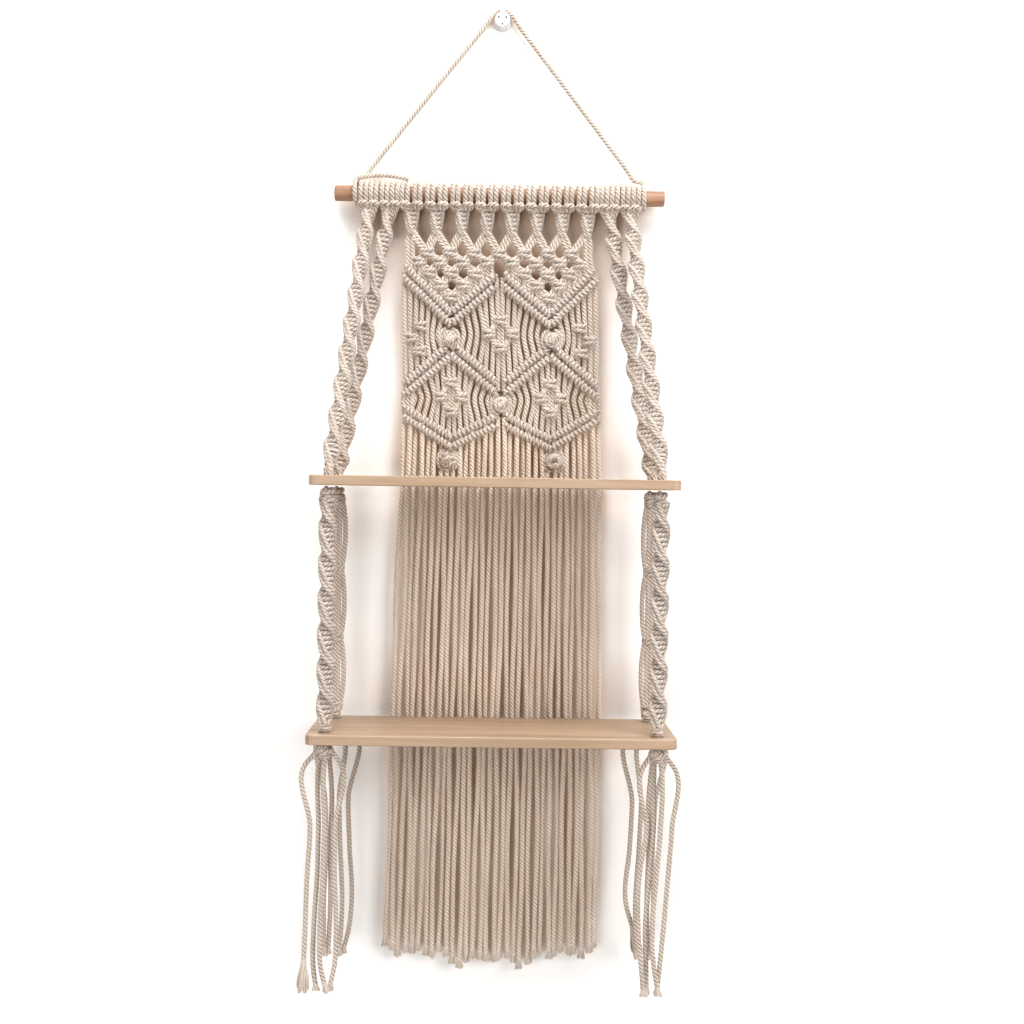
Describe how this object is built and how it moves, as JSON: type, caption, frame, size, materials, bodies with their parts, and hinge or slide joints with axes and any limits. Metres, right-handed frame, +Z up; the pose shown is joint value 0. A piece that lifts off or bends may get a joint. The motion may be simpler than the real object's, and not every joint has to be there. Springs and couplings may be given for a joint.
{
  "type": "hanging rope shelf",
  "caption": "Knotted cotton rope shelf that hangs from a small wall hook: a dowel carries a knotted panel with a long fringe and rope columns that hold two wooden boards one above the other.",
  "frame": {"origin": "on the wall, at the centre of the wall hook's flat back", "axes": "+Z up, +Y into the wall, +X to the right as seen from the front; everything hangs below and in front of the origin"},
  "size_m": [0.4022, 0.156, 1.1278],
  "materials": {
    "cotton_rope": "matte three-strand cotton rope, cream",
    "board_wood": "plain pale softwood, unvarnished",
    "dowel_wood": "stained round bar, matte",
    "white_plastic": "smooth white moulding",
    "steel_pin": "bare hardened pins, darkened"
  },
  "bodies": {
    "wall": {"wall_hook": "white_plastic", "hook_pin_left": "steel_pin", "hook_pin_right": "steel_pin", "hook_pin_bottom": "steel_pin"},
    "hanger": {"hanger_cord": "cotton_rope"},
    "drape": {"dowel": "dowel_wood", "panel_header_1": "cotton_rope", "panel_header_2": "cotton_rope", "panel_header_3": "cotton_rope", "panel_header_4": "cotton_rope", "panel_header_5": "cotton_rope", "panel_header_6": "cotton_rope", "panel_header_7": "cotton_rope", "panel_header_8": "cotton_rope", "panel_net": "cotton_rope", "ridges_upper_left": "cotton_rope", "ridges_middle_left": "cotton_rope", "ridges_lower_left": "cotton_rope", "ridges_upper_right": "cotton_rope", "ridges_middle_right": "cotton_rope", "ridges_lower_right": "cotton_rope", "diamond_centre": "cotton_rope", "diamond_side_left": "cotton_rope", "diamond_lower_left": "cotton_rope", "diamond_side_right": "cotton_rope", "diamond_lower_right": "cotton_rope", "berry_upper_left": "cotton_rope", "berry_upper_right": "cotton_rope", "berry_centre": "cotton_rope", "berry_lower_left": "cotton_rope", "berry_lower_right": "cotton_rope", "fringe_left": "cotton_rope", "fringe_right": "cotton_rope"},
    "upper_shelf": {"upper_board": "board_wood", "upper_column_front_left": "cotton_rope", "upper_column_rear_left": "cotton_rope", "upper_column_front_right": "cotton_rope", "upper_column_rear_right": "cotton_rope"},
    "lower_front_ropes": {"lower_column_front_left": "cotton_rope", "lower_column_front_right": "cotton_rope"},
    "lower_rear_ropes": {"lower_column_rear_left": "cotton_rope", "lower_column_rear_right": "cotton_rope"},
    "lower_shelf": {"lower_board": "board_wood", "tassel_front_left": "cotton_rope", "tassel_rear_left": "cotton_rope", "tassel_front_right": "cotton_rope", "tassel_rear_right": "cotton_rope"}
  },
  "joints": [
    {"name": "hook_side_swing", "type": "hinge", "parent": "wall", "child": "hanger", "pos_m": [0, -0.00505, 0], "axis": [0, 1, 0], "range_deg": [-8, 8]},
    {"name": "drape_out_swing", "type": "hinge", "parent": "hanger", "child": "drape", "pos_m": [0, -0.01607, -0.207], "axis": [-1, 0, 0], "range_deg": [0, 12]},
    {"name": "upper_shelf_swing", "type": "hinge", "parent": "drape", "child": "upper_shelf", "pos_m": [0, -0.01607, -0.207], "axis": [-1, 0, 0], "range_deg": [0, 10]},
    {"name": "lower_front_swing", "type": "hinge", "parent": "upper_shelf", "child": "lower_front_ropes", "pos_m": [0, -0.138, -0.5565], "axis": [-1, 0, 0], "range_deg": [0, 12]},
    {"name": "lower_rear_swing", "type": "hinge", "parent": "upper_shelf", "child": "lower_rear_ropes", "pos_m": [0, -0.044, -0.5565], "axis": [-1, 0, 0], "range_deg": [0, 12]},
    {"name": "lower_shelf_level", "type": "hinge", "parent": "lower_front_ropes", "child": "lower_shelf", "pos_m": [0, -0.138, -0.8062], "axis": [-1, 0, 0], "range_deg": [-12, 0]}
  ],
  "couplings": [
    {"joint": "lower_rear_swing", "follows": "lower_front_swing", "ratio": 1},
    {"joint": "lower_shelf_level", "follows": "lower_front_swing", "ratio": -1}
  ]
}
